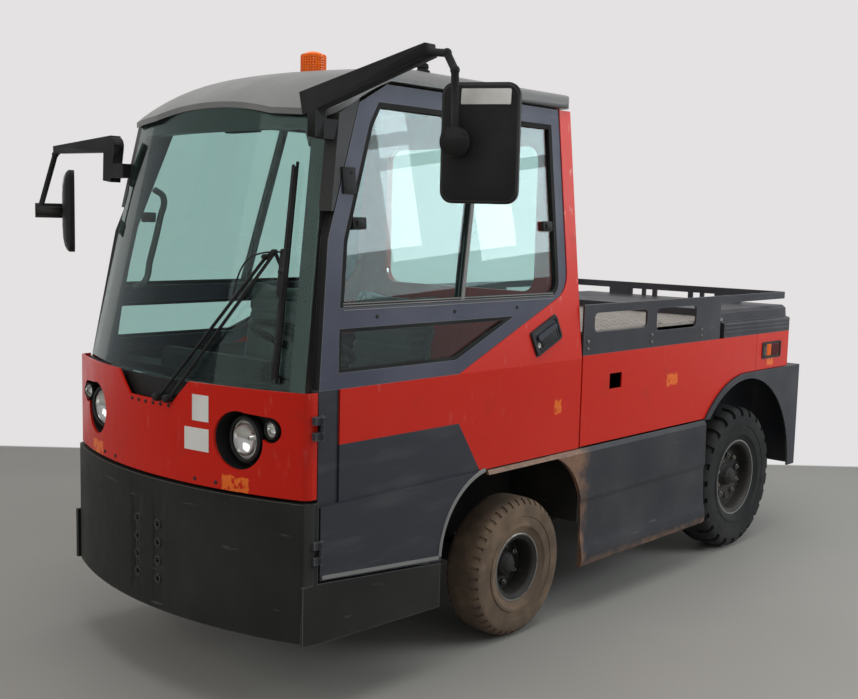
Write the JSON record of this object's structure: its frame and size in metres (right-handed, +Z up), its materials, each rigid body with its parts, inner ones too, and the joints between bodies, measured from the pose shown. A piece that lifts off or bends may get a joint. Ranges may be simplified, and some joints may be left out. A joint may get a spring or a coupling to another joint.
{
  "type": "electric tow tractor",
  "caption": "Electric tow tractor with a closed cab, bowed front bumper, railed load deck over the battery, turning and steering wheels, hinged doors and a pinned rear tow coupling.",
  "frame": {"origin": "on the ground under the middle of the vehicle's box", "axes": "+X forward, +Y to the vehicle's left, +Z up"},
  "size_m": [3.5699, 2.4794, 2.183],
  "materials": {
    "red_paint": "faded gloss",
    "dark_paint": "worn satin",
    "frame_paint": "satin",
    "black_steel": "matt",
    "black_plastic": "grained",
    "roof_plastic": "satin",
    "tinted_glass": "clear, green tint",
    "lamp_glass": "clear",
    "amber_lens": "translucent",
    "red_lens": "translucent",
    "checker_plate": "worn",
    "worn_tyre": "worn",
    "black_tyre": "dusty",
    "wheel_paint": "dusty",
    "seat_cloth": "woven",
    "bare_steel": "worn"
  },
  "bodies": {
    "chassis": {"chassis_frame": "black_steel", "cab_floor": "black_steel", "front_bumper": "dark_paint", "front_panel": "red_paint", "lamp_pods": "black_plastic", "headlamps": "lamp_glass", "scuttle": "black_plastic", "wiper": "black_plastic", "cab_glass": "tinted_glass", "cab_frame": "black_steel", "cab_rear_wall": "red_paint", "roof": "roof_plastic", "beacon": "amber_lens", "hinge_brackets": "dark_paint", "mirror_arm_left": "black_steel", "mirror_arm_right": "black_steel", "mirror_heads": "black_plastic", "side_panels": "red_paint", "rear_body": "red_paint", "rear_lamps": "red_lens", "skirts": "dark_paint", "wheel_houses": "black_steel", "rear_fenders": "dark_paint", "rails": "dark_paint", "deck_plates": "checker_plate", "rear_cover": "black_plastic", "battery": "black_steel", "rear_axle": "black_steel", "front_axle": "black_steel", "coupling": "black_steel", "seat_base": "black_plastic", "seat_cushions": "seat_cloth", "dashboard": "black_plastic", "steering_wheel": "black_plastic", "cab_fittings": "black_plastic"},
    "steer_left": {"knuckle_left": "black_steel"},
    "steer_right": {"knuckle_right": "black_steel"},
    "wheel_front_left": {"rim_front_left": "wheel_paint", "tyre_front_left": "worn_tyre"},
    "wheel_front_right": {"rim_front_right": "wheel_paint", "tyre_front_right": "worn_tyre"},
    "wheel_rear_left": {"rim_rear_left": "wheel_paint", "tyre_rear_left": "black_tyre"},
    "wheel_rear_right": {"rim_rear_right": "wheel_paint", "tyre_rear_right": "black_tyre"},
    "door_left": {"door_shell_left": "red_paint", "door_frame_left": "frame_paint", "door_glass_left": "tinted_glass"},
    "door_right": {"door_shell_right": "red_paint", "door_frame_right": "frame_paint", "door_glass_right": "tinted_glass"},
    "tow_pin": {"coupling_pin": "bare_steel"}
  },
  "joints": [
    {"name": "steer_left", "type": "hinge", "parent": "chassis", "child": "steer_left", "pos_m": [0.546, 0.455, 0.268], "axis": [0, 0, 1], "range_deg": [-36, 36]},
    {"name": "steer_right", "type": "hinge", "parent": "chassis", "child": "steer_right", "pos_m": [0.546, -0.455, 0.268], "axis": [0, 0, 1], "range_deg": [-36, 36]},
    {"name": "spin_front_left", "type": "hinge", "parent": "steer_left", "child": "wheel_front_left", "pos_m": [0.546, 0.55, 0.268], "axis": [0, 1, 0], "continuous": true},
    {"name": "spin_front_right", "type": "hinge", "parent": "steer_right", "child": "wheel_front_right", "pos_m": [0.546, -0.55, 0.268], "axis": [0, 1, 0], "continuous": true},
    {"name": "spin_rear_left", "type": "hinge", "parent": "chassis", "child": "wheel_rear_left", "pos_m": [-1.209, 0.535, 0.351], "axis": [0, 1, 0], "continuous": true},
    {"name": "spin_rear_right", "type": "hinge", "parent": "chassis", "child": "wheel_rear_right", "pos_m": [-1.209, -0.535, 0.351], "axis": [0, 1, 0], "continuous": true},
    {"name": "door_left", "type": "hinge", "parent": "chassis", "child": "door_left", "pos_m": [1.602, 0.664, 0.7], "axis": [0, 0, -1], "range_deg": [0, 60]},
    {"name": "door_right", "type": "hinge", "parent": "chassis", "child": "door_right", "pos_m": [1.602, -0.664, 0.7], "axis": [0, 0, 1], "range_deg": [0, 60]},
    {"name": "tow_pin_lift", "type": "slide", "parent": "chassis", "child": "tow_pin", "axis": [0, 0, 1], "range_m": [0, 0.18]}
  ],
  "couplings": [
    {"joint": "steer_right", "follows": "steer_left", "ratio": 1}
  ]
}
